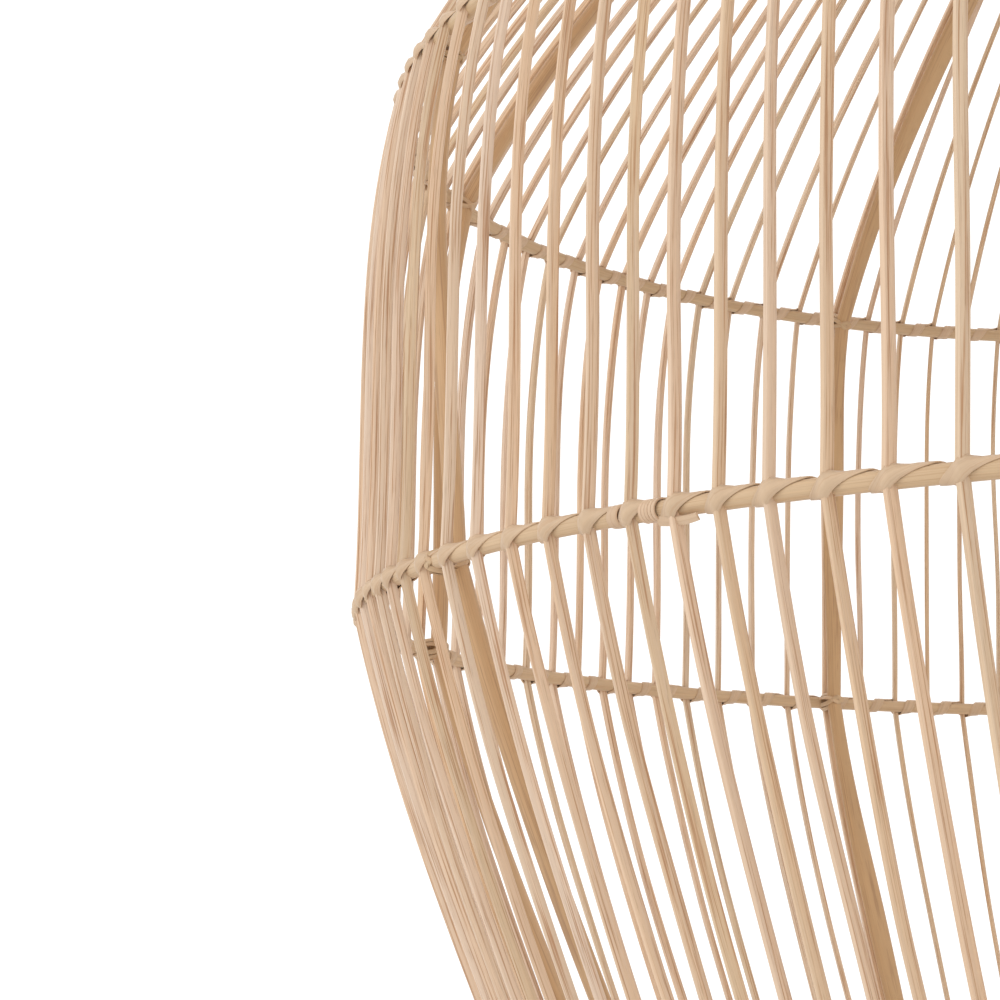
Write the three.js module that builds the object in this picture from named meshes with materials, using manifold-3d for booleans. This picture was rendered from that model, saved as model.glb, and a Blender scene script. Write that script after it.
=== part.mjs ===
// A pendant lamp shade: an open cage of split rattan on cane hoops, with its metal fitter and lampholder.
// Millimetres, +Z up. The origin is on the axis, on the top face of the cord grip that the lamp hangs by.
// An azimuth is measured from -Y towards +X, and a height h inside the cage from the belly hoop.

import * as THREE from 'three';
import { mergeVertices } from 'three/addons/utils/BufferGeometryUtils.js';
import Module from 'manifold-3d';

const manifold = await Module();
manifold.setup();

// ---------------------------------------------------------------- driving dimensions

const BELLY_R = 300;             // radius of the widest hoop, over the lashing
const CLEAR = 0.4;               // gap between neighbouring pieces

// The hoops, from the top down. r is the outer face of the splints there, and above and below are the
// splints' slopes dr/dh just over and just under the hoop, so that a splint bends where the two differ.
const HOOPS = [
  { name: 'top', h: 1.18 * BELLY_R, r: 0.235 * BELLY_R, above: -1.576, below: -1.576 },
  { name: 'shoulder', h: 0.496 * BELLY_R, r: 0.96 * BELLY_R, above: -0.55, below: -0.26 },
  { name: 'belly', h: 0, r: 0.995 * BELLY_R, above: -0.06, below: 0.22 },
  { name: 'lower', h: -0.58 * BELLY_R, r: 0.787 * BELLY_R, above: 0.43, below: 0.43 },
  { name: 'mouth', h: -1.15 * BELLY_R, r: 0.53 * BELLY_R, above: 0.46, below: 0.46 },
];
const TOP = HOOPS[0];

const SPLINTS = 120;             // split canes around the cage
const SPLINTS_PER_GROUP = 5;     // splints held together by one run of lashing
const SPLINT_W = 1.8;            // they stand edgewise, deeper than they are wide
const SPLINT_T = 3;
const FIRST_SPLINT = -35.8;      // azimuth, degrees
const SPACING_WANDER = 2.1;      // degrees: the hand-set spacing is closest on one side of the cage
const CLOSEST_AT = -36;          // azimuth of the closest spacing
const SPACING_RIPPLE = 0.45;     // degrees: and it ripples around the cage
const RIPPLES = 12;

const LASHING_H = 5.2;           // height of the lashed band over a hoop
const HOOP_T = 3.8;              // section of a hoop
const HOOP_SEGMENTS = 48;
const HOOP_SAG = BELLY_R * (1 - Math.cos(Math.PI / HOOP_SEGMENTS)); // of a segment inside its arc

// Each rib's azimuth at the five hoops, in degrees, from the top down: they were bent and set by hand.
const RIBS = [
  [-60, -57.5, -50, -47, -45],
  [-88, -89, -90, -95, -97],
  [-136, -136, -136, -136, -136],
  [-180, -181, -182, -184, -185],
  [-229, -228, -228, -226, -225],
  [-272, -272, -273, -273, -274],
  [-316, -317, -318, -320, -321],
  [-368, -367, -366, -365, -363],
];
const RIB_W = 5.2;               // where it is tied to a hoop
const RIB_SWELL = 3;             // how much wider it is midway between two hoops
const RIB_T = 5.2;

const HANG_DROP = 45;            // from the cord grip's top face down to the cage's top hoop
const SPIDER_ARMS = 3;
const SPIDER_WIRE_R = 1.75;
const ARM_GAP = 1;               // from an arm's end to the rim and the hub that it is welded to
const ARM_SAG = 2;
const RIM_R = 59;                // centreline of the fitter's outer ring
const RIM_SIDES = 32;
const RIM_DROP = 6;              // of the fitter's outer ring below the cage's top hoop
const HUB_Z = -57.2;             // mid-height of the fitter's hub plate
const HUB_T = 1.6;
const HUB_R = 30;

const HOLDER_R = 19.5;           // threaded skirt of the lampholder
const HOLDER_CAP_R = 20;
const CORD_BORE_R = 3.5;
const SHADE_RING = { r: 28, h: 4.5, sides: 24 };

const BULB_R = 47.5;             // globe
const BULB_BOTTOM_Z = -195;
const GLOBE_STEPS = 9;
const BULB_CAP = { r: 13.1, top: -62.4, bottom: -85, wall: 0.7, shoulder: 2, flatR: 9, holeR: 3 };
const BULB_TIP = { r: 4, top: -57.4, bottom: -59.4 };
const BULB_SIDES = 12;           // of the bulb's small turned pieces
const NECK = { r: 11.8, top: -70, bottom: -96, glass: 1 };
const STEM = { r: 9.5, top: -72, flare: -76, waistR: 3.5, waist: -92, tipR: 2.5, bottom: -112 };
const FILAMENT = { top: -113, bottom: -153, spread: 9, stickR: 1.2, sticks: 4, plateR: 11, plateH: 1 };

// Heights of the lampholder's pieces, from the top down.
const GRIP = { r: 7.5, top: 0, chamfer: 1, shoulder: -10, stemR: 4.8, bottom: -16 };
const CAP = { top: GRIP.shoulder - CLEAR, rim: -42, wall: 2.2, boss: 8.5 };
const BODY = { top: -34, flange: CAP.rim - CLEAR, skirt: -45, bottom: -84, wall: 3 };
const CORE = { top: -37, bottom: -52, r: 14.4 };
const SHELL = { top: CORE.bottom - CLEAR, bottom: -80, r: BULB_CAP.r + 1.5 * CLEAR, wall: 0.8 };
const CONTACT = { length: 10, width: 4, thickness: 1.2 };
const SCREW = { r: 2.6, h: 2.6, x: 8 };

const ROUND = 16;                // sides of a turned fitting

const DEGREE = Math.PI / 180;
const CAGE_Z = -HANG_DROP - TOP.h; // height of the belly hoop

// ---------------------------------------------------------------- materials

function material(colour, roughness, metalness = 0) {
  return new THREE.MeshStandardMaterial({ color: colour, roughness, metalness });
}

const rattan = material(0xd0ae8e, 0.55);
const cane = material(0xd7bb94, 0.5);
const steel = material(0xb9bcc0, 0.35, 0.9);
const brass = material(0xc8a24c, 0.35, 0.9);
const blackPlastic = material(0x1c1c1e, 0.45);
const ceramic = material(0xe9e6df, 0.35);
const capMetal = material(0xcfd1d3, 0.3, 0.9);
const clearGlass = material(0xf3f1ea, 0.05);
const phosphor = material(0xf0b23e, 0.6);

const lamp = new THREE.Group();
const cage = new THREE.Group();
cage.position.z = CAGE_Z;
lamp.add(cage);

function add(parent, name, geometry, look) {
  const mesh = new THREE.Mesh(geometry, look);
  mesh.name = name;
  parent.add(mesh);
  return mesh;
}

// ---------------------------------------------------------------- the cage's profile

// A station is a point on the splints' outer face with the outward normal there, in the (r, h) plane.
function station(r, h, slope) {
  const length = Math.hypot(1, slope);
  return { r, h, nr: 1 / length, nh: -slope / length };
}

// At a hoop the normal halves the bend of the splints.
function hoopStation(hoop, rise = 0) {
  const over = station(hoop.r, hoop.h, hoop.above);
  const under = station(hoop.r, hoop.h, hoop.below);
  const [nr, nh] = [over.nr + under.nr, over.nh + under.nh];
  const length = Math.hypot(nr, nh);
  const mean = { nr: nr / length, nh: nh / length };
  return { r: hoop.r - rise * mean.nh, h: hoop.h + rise * mean.nr, ...mean };
}

// Between two hoops a splint follows a cubic that meets both slopes. t runs from 0 to 1, downwards.
function spanStation(upper, lower, t) {
  const span = lower.h - upper.h;
  const [m0, m1] = [span * upper.below, span * lower.above];
  const r = (2 * t ** 3 - 3 * t ** 2 + 1) * upper.r + (t ** 3 - 2 * t ** 2 + t) * m0
    + (3 * t ** 2 - 2 * t ** 3) * lower.r + (t ** 3 - t ** 2) * m1;
  const rise = 6 * (t ** 2 - t) * (upper.r - lower.r) + (3 * t ** 2 - 4 * t + 1) * m0
    + (3 * t ** 2 - 2 * t) * m1;
  return station(r, upper.h + span * t, rise / span);
}

// ---------------------------------------------------------------- splints and ribs

// The uneven spacing that hand work gives: a wander once around, and a ripple.
function azimuth(even) {
  const wander = SPACING_WANDER * Math.sin((even - CLOSEST_AT) * DEGREE);
  const ripple = SPACING_RIPPLE * Math.cos((even - CLOSEST_AT) * RIPPLES * DEGREE);
  return (even - wander + ripple) * DEGREE;
}

// One closed body of strips side by side down the stations, tied into one where a row is banded.
// centres are the strips' azimuths, and depth is how far inside the splints' outer face theirs lies.
// A station's own turn moves the strips' azimuth there, and its own width stands in for the strips'.
function strips(stations, bandedRows, centres, width, depth, thickness) {
  const positions = [];
  const indices = [];
  const edges = centres.length * 2;

  for (const at of stations) {
    for (let edge = 0; edge < edges; edge += 1) {
      const side = edge % 2 === 0 ? -1 : 1;
      const centre = centres[Math.floor(edge / 2)] + (at.turn ?? 0);
      const angle = centre + side * Math.asin((at.width ?? width) / 2 / at.r);
      for (const inset of [depth, depth + thickness]) {
        const r = at.r - inset * at.nr;
        positions.push(r * Math.sin(angle), -r * Math.cos(angle), at.h - inset * at.nh);
      }
    }
  }

  const vertex = (row, edge, inner) => (row * edges + edge) * 2 + inner;
  const quad = (a, b, c, d) => indices.push(a, b, c, a, c, d);
  const filled = (row, column) => row >= 0 && row < stations.length - 1
    && column >= 0 && column < edges - 1 && (column % 2 === 0 || bandedRows.has(row));

  for (let row = 0; row < stations.length - 1; row += 1) {
    for (let column = 0; column < edges - 1; column += 1) {
      if (!filled(row, column)) continue;
      const outer = [[0, 0], [1, 0], [1, 1], [0, 1]].map(([down, right]) =>
        vertex(row + down, column + right, 0));
      const inner = outer.map((index) => index + 1);
      quad(...outer);
      quad(inner[3], inner[2], inner[1], inner[0]);
      if (!filled(row, column - 1)) quad(outer[0], inner[0], inner[1], outer[1]);
      if (!filled(row, column + 1)) quad(outer[2], inner[2], inner[3], outer[3]);
      if (!filled(row - 1, column)) quad(outer[3], inner[3], inner[0], outer[0]);
      if (!filled(row + 1, column)) quad(outer[1], inner[1], inner[2], outer[2]);
    }
  }

  const geometry = new THREE.BufferGeometry();
  geometry.setAttribute('position', new THREE.Float32BufferAttribute(positions, 3));
  geometry.setIndex(indices);
  return geometry;
}

// The splints' stations, from the top down, with the rows that the lashing bands cover.
function splintStations() {
  const stations = [];
  const bandedRows = new Set();
  const above = [[], [1 / 3, 2 / 3], [0.5], [], []]; // what each hoop's span needs besides its ends
  HOOPS.forEach((hoop, index) => {
    for (const t of above[index]) stations.push(spanStation(HOOPS[index - 1], hoop, t));
    bandedRows.add(stations.length);
    stations.push(hoopStation(hoop, LASHING_H / 2), hoopStation(hoop, -LASHING_H / 2));
  });
  return { stations, bandedRows };
}

function addSplints() {
  const { stations, bandedRows } = splintStations();
  const pitch = 360 / SPLINTS;
  for (let group = 0; group < SPLINTS / SPLINTS_PER_GROUP; group += 1) {
    const centres = Array.from({ length: SPLINTS_PER_GROUP }, (_, i) =>
      azimuth(FIRST_SPLINT + (group * SPLINTS_PER_GROUP + i) * pitch));
    const label = String(group + 1).padStart(2, '0');
    const geometry = strips(stations, bandedRows, centres, SPLINT_W, 0, SPLINT_T);
    add(cage, `splints_${label}`, geometry, rattan);
  }
}

// A rib's stations, from the top down, with its azimuth and width at each.
function ribStations(azimuths) {
  const overhang = { top: LASHING_H / 2, mouth: -LASHING_H / 2 };
  const below = [[1 / 3, 2 / 3], [0.5], [0.5], [0.5], []]; // what each hoop's span needs besides its ends
  const stations = [];
  HOOPS.forEach((hoop, index) => {
    const here = azimuths[index] * DEGREE;
    stations.push({ ...hoopStation(hoop, overhang[hoop.name]), turn: here, width: RIB_W });
    for (const t of below[index]) {
      const turn = here + t * (azimuths[index + 1] * DEGREE - here);
      const width = RIB_W + RIB_SWELL * Math.sin(Math.PI * t);
      stations.push({ ...spanStation(hoop, HOOPS[index + 1], t), turn, width });
    }
  });
  return stations;
}

// Thick canes stand inside the hoops and carry them.
function addRibs() {
  const depth = SPLINT_T + CLEAR + HOOP_T + HOOP_SAG + CLEAR;
  RIBS.forEach((azimuths, index) => {
    const geometry = strips(ribStations(azimuths), new Set(), [0], RIB_W, depth, RIB_T);
    add(cage, `rib_${index + 1}`, geometry, rattan);
  });
}

// ---------------------------------------------------------------- turned pieces

// A body of revolution about Z. Its outline of [r, z] starts and ends on the axis, from the bottom up.
function turnedSolid(outline, segments = ROUND) {
  const points = outline.map(([r, z]) => new THREE.Vector2(r, z));
  return new THREE.LatheGeometry(points, segments).rotateX(Math.PI / 2);
}

// The same for an outline that stands off the axis, runs anticlockwise and closes on itself.
function turned(outline, segments = ROUND) {
  return turnedSolid([...outline, outline[0]], segments);
}

function ring(inner, outer, low, high, segments = ROUND) {
  return turned([[outer, low], [outer, high], [inner, high], [inner, low]], segments);
}

// A hoop's section is a square laid flat against the splints.
function addHoops() {
  const half = HOOP_T / 2;
  for (const hoop of HOOPS) {
    const at = hoopStation(hoop);
    const depth = SPLINT_T + CLEAR + half;
    const centre = [at.r - depth * at.nr, at.h - depth * at.nh];
    const outline = [[1, -1], [1, 1], [-1, 1], [-1, -1]].map(([out, up]) => [
      centre[0] + half * (out * at.nr - up * at.nh),
      centre[1] + half * (out * at.nh + up * at.nr),
    ]);
    const segments = hoop === TOP ? HOOP_SEGMENTS / 2 : HOOP_SEGMENTS;
    add(cage, `hoop_${hoop.name}`, turned(outline, segments), cane);
  }
}

// ---------------------------------------------------------------- the fitter that carries the cage

function wire(from, to, sag, radius) {
  const middle = new THREE.Vector3().addVectors(from, to).multiplyScalar(0.5);
  middle.z -= sag;
  const path = new THREE.QuadraticBezierCurve3(from, middle, to);
  const section = new THREE.Shape();
  section.absarc(0, 0, radius, 0, 2 * Math.PI);
  const options = { steps: 4, curveSegments: 8, bevelEnabled: false, extrudePath: path };
  return new THREE.ExtrudeGeometry(section, options);
}

function addSpider() {
  const rimZ = -HANG_DROP - RIM_DROP;
  const half = SPIDER_WIRE_R;
  const rim = ring(RIM_R - half, RIM_R + half, rimZ - half, rimZ + half, RIM_SIDES);
  add(lamp, 'spider_rim', rim, steel);

  const hub = ring(HOLDER_R + 2 * CLEAR, HUB_R, HUB_Z - HUB_T / 2, HUB_Z + HUB_T / 2, SHADE_RING.sides);
  add(lamp, 'spider_hub', hub, steel);

  for (let arm = 0; arm < SPIDER_ARMS; arm += 1) {
    const turn = new THREE.Matrix4().makeRotationZ(arm * 2 * Math.PI / SPIDER_ARMS);
    const from = new THREE.Vector3(HUB_R + ARM_GAP, 0, HUB_Z);
    const to = new THREE.Vector3(RIM_R - half - ARM_GAP, 0, rimZ);
    add(lamp, `spider_arm_${arm + 1}`, wire(from, to, ARM_SAG, half).applyMatrix4(turn), steel);
  }
}

// ---------------------------------------------------------------- the lampholder

function addCordGrip() {
  add(lamp, 'cord_grip', turned([
    [GRIP.stemR, GRIP.bottom],
    [GRIP.stemR, GRIP.shoulder],
    [GRIP.r, GRIP.shoulder],
    [GRIP.r, GRIP.top - GRIP.chamfer],
    [GRIP.r - GRIP.chamfer, GRIP.top],
    [CORD_BORE_R, GRIP.top],
    [CORD_BORE_R, GRIP.bottom],
  ]), blackPlastic);
}

function addHolder() {
  const neckR = HOLDER_CAP_R - CAP.wall - CLEAR;
  add(lamp, 'lampholder_cap', turned([
    [HOLDER_CAP_R, CAP.rim],
    [HOLDER_CAP_R, -28],
    [HOLDER_CAP_R - 5, -20],
    [CAP.boss, -15],
    [CAP.boss, CAP.top],
    [GRIP.stemR + CLEAR, CAP.top],
    [GRIP.stemR + CLEAR, -17.4],
    [HOLDER_CAP_R - 6.5, -22],
    [HOLDER_CAP_R - CAP.wall, -29],
    [HOLDER_CAP_R - CAP.wall, CAP.rim],
  ]), blackPlastic);

  add(lamp, 'lampholder_body', turned([
    [HOLDER_R, BODY.bottom],
    [HOLDER_R, BODY.skirt],
    [HOLDER_CAP_R, BODY.skirt],
    [HOLDER_CAP_R, BODY.flange],
    [neckR, BODY.flange],
    [neckR, BODY.top],
    [CORE.r + CLEAR, BODY.top],
    [CORE.r + CLEAR, CORE.bottom - 1],
    [HOLDER_R - BODY.wall, CORE.bottom - 2.5],
    [HOLDER_R - BODY.wall, BODY.bottom],
  ]), blackPlastic);

  add(lamp, 'lampholder_core', turnedSolid([
    [0, CORE.bottom],
    [CORE.r, CORE.bottom],
    [CORE.r, CORE.top],
    [0, CORE.top],
  ]), ceramic);

  const shell = ring(SHELL.r, SHELL.r + SHELL.wall, SHELL.bottom, SHELL.top);
  add(lamp, 'lampholder_shell', shell, brass);

  const { length, width, thickness } = CONTACT;
  const contact = new THREE.BoxGeometry(length, width, thickness);
  contact.translate(0, 0, CORE.bottom - CLEAR - thickness / 2);
  add(lamp, 'centre_contact', contact, brass);

  for (const [label, side] of [['left', -1], ['right', 1]]) {
    const screw = new THREE.CylinderGeometry(SCREW.r, SCREW.r, SCREW.h, BULB_SIDES).rotateX(Math.PI / 2);
    screw.translate(side * SCREW.x, 0, CORE.top + CLEAR + SCREW.h / 2);
    add(lamp, `terminal_screw_${label}`, screw, brass);
  }
}

// Two ring nuts on the skirt clamp the fitter's hub between them.
function addShadeRings() {
  const bore = HOLDER_R + CLEAR;
  for (const [name, side] of [['upper', 1], ['lower', -1]]) {
    const near = HUB_Z + side * (HUB_T / 2 + CLEAR);
    const far = near + side * SHADE_RING.h;
    const [low, high] = [Math.min(near, far), Math.max(near, far)];
    add(lamp, `shade_ring_${name}`, ring(bore, SHADE_RING.r, low, high, SHADE_RING.sides), blackPlastic);
  }
}

// ---------------------------------------------------------------- the bulb

// The globe's outline runs from its lowest point round to where the neck takes over.
function globeArc(r) {
  const end = 150 * DEGREE;
  const centre = BULB_BOTTOM_Z + BULB_R;
  return Array.from({ length: GLOBE_STEPS + 1 }, (_, i) => {
    const angle = end * i / GLOBE_STEPS;
    return [r * Math.sin(angle), centre - r * Math.cos(angle)];
  });
}

function addBulb() {
  add(lamp, 'bulb_tip', turnedSolid([
    [0, BULB_TIP.bottom],
    [BULB_TIP.r, BULB_TIP.bottom],
    [BULB_TIP.r, BULB_TIP.bottom + 1.2],
    [BULB_TIP.r - 1.5, BULB_TIP.top],
    [0, BULB_TIP.top],
  ], BULB_SIDES), capMetal);

  const low = BULB_CAP.top + CLEAR;
  const high = BULB_TIP.bottom - CLEAR;
  add(lamp, 'bulb_insulator', turnedSolid([
    [0, low], [7.6, low], [4.6, high], [0, high],
  ], BULB_SIDES), blackPlastic);

  const { r: outer, top, bottom, wall, shoulder, flatR, holeR } = BULB_CAP;
  add(lamp, 'bulb_cap', turned([
    [outer, bottom],
    [outer, top - shoulder],
    [flatR, top - CLEAR],
    [holeR, top - CLEAR],
    [holeR, top - 2 * wall],
    [flatR - CLEAR, top - 2 * wall],
    [outer - wall, top - shoulder - 1],
    [outer - wall, bottom],
  ]), capMetal);

  add(lamp, 'bulb_glass', turnedSolid([
    ...globeArc(BULB_R),
    [NECK.r, NECK.bottom],
    [NECK.r, NECK.top],
    [NECK.r - NECK.glass, NECK.top],
    [NECK.r - NECK.glass, NECK.bottom],
    ...globeArc(BULB_R - NECK.glass).reverse(),
  ]), clearGlass);

  add(lamp, 'bulb_stem', turnedSolid([
    [0, STEM.bottom],
    [STEM.tipR, STEM.bottom],
    [STEM.waistR, STEM.waist],
    [STEM.r, STEM.flare],
    [STEM.r, STEM.top],
    [0, STEM.top],
  ], BULB_SIDES), clearGlass);
}

function toManifold(geometry) {
  const bare = geometry.clone();
  bare.deleteAttribute('normal');
  bare.deleteAttribute('uv');
  const merged = mergeVertices(bare);
  return new manifold.Manifold(new manifold.Mesh({
    numProp: 3,
    vertProperties: merged.attributes.position.array,
    triVerts: new Uint32Array(merged.index.array),
  }));
}

function fromManifold(solid) {
  const mesh = solid.getMesh();
  const geometry = new THREE.BufferGeometry();
  geometry.setAttribute('position', new THREE.Float32BufferAttribute(mesh.vertProperties, 3));
  geometry.setIndex(new THREE.Uint32BufferAttribute(mesh.triVerts, 1));
  return geometry;
}

// The glowing sticks are welded to a small plate at each end.
function addFilament() {
  const { top, bottom, spread, stickR, sticks, plateR, plateH } = FILAMENT;
  const plate = (z) => new THREE.CylinderGeometry(plateR, plateR, plateH, 8)
    .rotateX(Math.PI / 2).translate(0, 0, z);
  let joined = toManifold(plate(top)).add(toManifold(plate(bottom)));
  for (let i = 0; i < sticks; i += 1) {
    const angle = (i + 0.5) * 2 * Math.PI / sticks;
    const stick = new THREE.CylinderGeometry(stickR, stickR, top - bottom, 6).rotateX(Math.PI / 2)
      .translate(spread * Math.cos(angle), spread * Math.sin(angle), (top + bottom) / 2);
    joined = joined.add(toManifold(stick));
  }
  add(lamp, 'bulb_filament', fromManifold(joined), phosphor);
}

addSplints();
addHoops();
addRibs();
addSpider();
addCordGrip();
addHolder();
addShadeRings();
addBulb();
addFilament();

export default lamp;
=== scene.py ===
"""A pendant lamp shade: an open cage of split rattan on cane hoops, with its fitter, lampholder and bulb.

Metres, +Z up, origin on the cord grip's top face. An azimuth is measured from -Y towards +X, and a
height h inside the cage is measured from the belly hoop, as in the CAD model.
"""
import math
import random
from collections import namedtuple

import bmesh
import bpy
import numpy as np
from mathutils import Matrix, Vector


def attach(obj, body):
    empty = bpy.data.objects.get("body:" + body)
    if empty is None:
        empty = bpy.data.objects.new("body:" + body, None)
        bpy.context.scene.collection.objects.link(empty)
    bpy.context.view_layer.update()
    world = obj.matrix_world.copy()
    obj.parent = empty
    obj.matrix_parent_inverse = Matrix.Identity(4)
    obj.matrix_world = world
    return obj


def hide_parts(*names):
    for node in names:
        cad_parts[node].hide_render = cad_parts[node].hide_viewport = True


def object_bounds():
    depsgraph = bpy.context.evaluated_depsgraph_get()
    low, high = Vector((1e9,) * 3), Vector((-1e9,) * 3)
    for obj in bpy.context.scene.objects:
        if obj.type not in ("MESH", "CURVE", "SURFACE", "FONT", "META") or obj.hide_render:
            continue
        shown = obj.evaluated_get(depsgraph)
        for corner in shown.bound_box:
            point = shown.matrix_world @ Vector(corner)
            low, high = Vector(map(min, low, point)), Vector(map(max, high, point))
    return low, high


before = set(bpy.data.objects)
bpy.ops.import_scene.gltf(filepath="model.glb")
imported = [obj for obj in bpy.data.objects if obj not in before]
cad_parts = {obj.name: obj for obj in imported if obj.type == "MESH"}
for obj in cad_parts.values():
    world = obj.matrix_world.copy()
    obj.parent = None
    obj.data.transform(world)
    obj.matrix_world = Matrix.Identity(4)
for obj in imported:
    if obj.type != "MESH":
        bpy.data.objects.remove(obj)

CAD_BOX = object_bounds()
MM = 0.001

# ---------------------------------------------------------------- the cage's driving dimensions

BELLY_R = 0.300

# A hoop's height and radius, and how fast the cage's radius grows with height just above and below it.
Hoop = namedtuple("Hoop", "name h r above below")
HOOPS = [
    Hoop("top", 1.18 * BELLY_R, 0.235 * BELLY_R, -1.576, -1.576),
    Hoop("shoulder", 0.496 * BELLY_R, 0.96 * BELLY_R, -0.55, -0.26),
    Hoop("belly", 0.0, 0.995 * BELLY_R, -0.06, 0.22),
    Hoop("lower", -0.58 * BELLY_R, 0.787 * BELLY_R, 0.43, 0.43),
    Hoop("mouth", -1.15 * BELLY_R, 0.53 * BELLY_R, 0.46, 0.46),
]
TOP, BELLY, MOUTH = HOOPS[0], HOOPS[2], HOOPS[-1]
HANG_DROP = 45 * MM  # from the cord grip's top face to the top hoop
CAGE_Z = -HANG_DROP - TOP.h

SPLINTS = 120
SPLINTS_PER_GROUP = 5
SPLINT_W = 1.8 * MM
SPLINT_T = 3.0 * MM
FIRST_SPLINT = -35.8  # degrees, like the next three
SPACING_WANDER = 2.1  # how far the splints are drawn towards the side where they stand closest
CLOSEST_AT = -36.0
SPACING_RIPPLE = 0.45
RIPPLES = 12  # round the cage
SPLINT_END = 2.6 * MM  # past the middle of the top and mouth hoops

ROD_R = 2.2 * MM
ROD_DEPTH = 3.6 * MM  # of a hoop's middle inside the splints' outer face: they are notched over it
LASHING_TWIST = 0.41  # radians that the lashing turns each splint by
RIBS = (  # azimuths at the five hoops, from the top down
    (-60, -57.5, -50, -47, -45),
    (-88, -89, -90, -95, -97),
    (-136, -136, -136, -136, -136),
    (-180, -181, -182, -184, -185),
    (-229, -228, -228, -226, -225),
    (-272, -272, -273, -273, -274),
    (-316, -317, -318, -320, -321),
    (-368, -367, -366, -365, -363),
)
RIB_R = 2.6 * MM  # where a rib is tied to a hoop
RIB_SWELL = 0.6  # how much wider a rib is midway between two hoops, as a share
RIB_DEPTH = 9.2 * MM  # of a rib's middle inside the splints' outer face
STRIP_W = 3.9 * MM  # of the flat cane strip that lashes the splints
STRIP_T = 0.5 * MM

random.seed(11)


# ---------------------------------------------------------------- camera, light and floor

CAMERA_BACK = 2.8434 * BELLY_R  # from the cage's axis
CAMERA_DROP = 0.33335 * BELLY_R  # below the belly hoop
CAMERA_PITCH, CAMERA_YAW, CAMERA_ROLL = 0.16403, 0.30531, 0.00437
CAMERA_SENSOR, CAMERA_LENS = 36, 101.7

WORLD_LIGHT = 1.17
KEY_PLACE, KEY_SIZE, KEY_POWER = (-2.2, -1.6, 0.6), 1.4, 10  # power in watts
FLOOR_DROP = 1.5  # below the mouth: the lamp hangs well clear of the floor
FLOOR_REACH = 25
FLOOR_TONE = 0.86


def add_camera():
    """Below the belly, looking up a little and left of the axis."""
    camera = bpy.data.objects.new("camera", bpy.data.cameras.new("camera"))
    bpy.context.scene.collection.objects.link(camera)
    turn = (Matrix.Rotation(CAMERA_YAW, 4, "Z") @ Matrix.Rotation(math.pi / 2 + CAMERA_PITCH, 4, "X")
            @ Matrix.Rotation(CAMERA_ROLL, 4, "Z"))
    place = Vector((0, -CAMERA_BACK, CAGE_Z - CAMERA_DROP))
    camera.matrix_world = Matrix.Translation(place) @ turn
    camera.data.sensor_width = CAMERA_SENSOR
    camera.data.lens = CAMERA_LENS
    camera.data.clip_start = 0.01
    bpy.context.scene.camera = camera


def add_lamp(name, place, target, size, power):
    data = bpy.data.lights.new(name, "AREA")
    data.size = size
    data.energy = power
    lamp = bpy.data.objects.new(name, data)
    aim = Vector(target) - Vector(place)
    lamp.matrix_world = Matrix.Translation(place) @ aim.to_track_quat("-Z", "Y").to_matrix().to_4x4()
    bpy.context.scene.collection.objects.link(lamp)


def add_studio():
    world = bpy.data.worlds.new("studio")
    bpy.context.scene.world = world
    world.use_nodes = True
    background = world.node_tree.nodes["Background"]
    background.inputs["Color"].default_value = (1, 1, 1, 1)
    background.inputs["Strength"].default_value = WORLD_LIGHT
    bpy.context.scene.view_settings.view_transform = "Standard"

    add_lamp("key", KEY_PLACE, (0, 0, CAGE_Z), KEY_SIZE, KEY_POWER)

    floor_z = CAD_BOX[0][2] - FLOOR_DROP
    mesh = bpy.data.meshes.new("floor")
    corners = [(-1, -1), (1, -1), (1, 1), (-1, 1)]
    mesh.from_pydata([(FLOOR_REACH * x, FLOOR_REACH * y, floor_z) for x, y in corners], [], [(0, 1, 2, 3)])
    floor = bpy.data.objects.new("floor", mesh)
    bpy.context.scene.collection.objects.link(floor)
    pale = bpy.data.materials.new("pale_floor")
    pale.use_nodes = True
    shader = pale.node_tree.nodes["Principled BSDF"]
    shader.inputs["Base Color"].default_value = (FLOOR_TONE, FLOOR_TONE, FLOOR_TONE, 1)
    shader.inputs["Roughness"].default_value = 0.9
    mesh.materials.append(pale)


add_camera()
add_studio()


# ---------------------------------------------------------------- node materials

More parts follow.
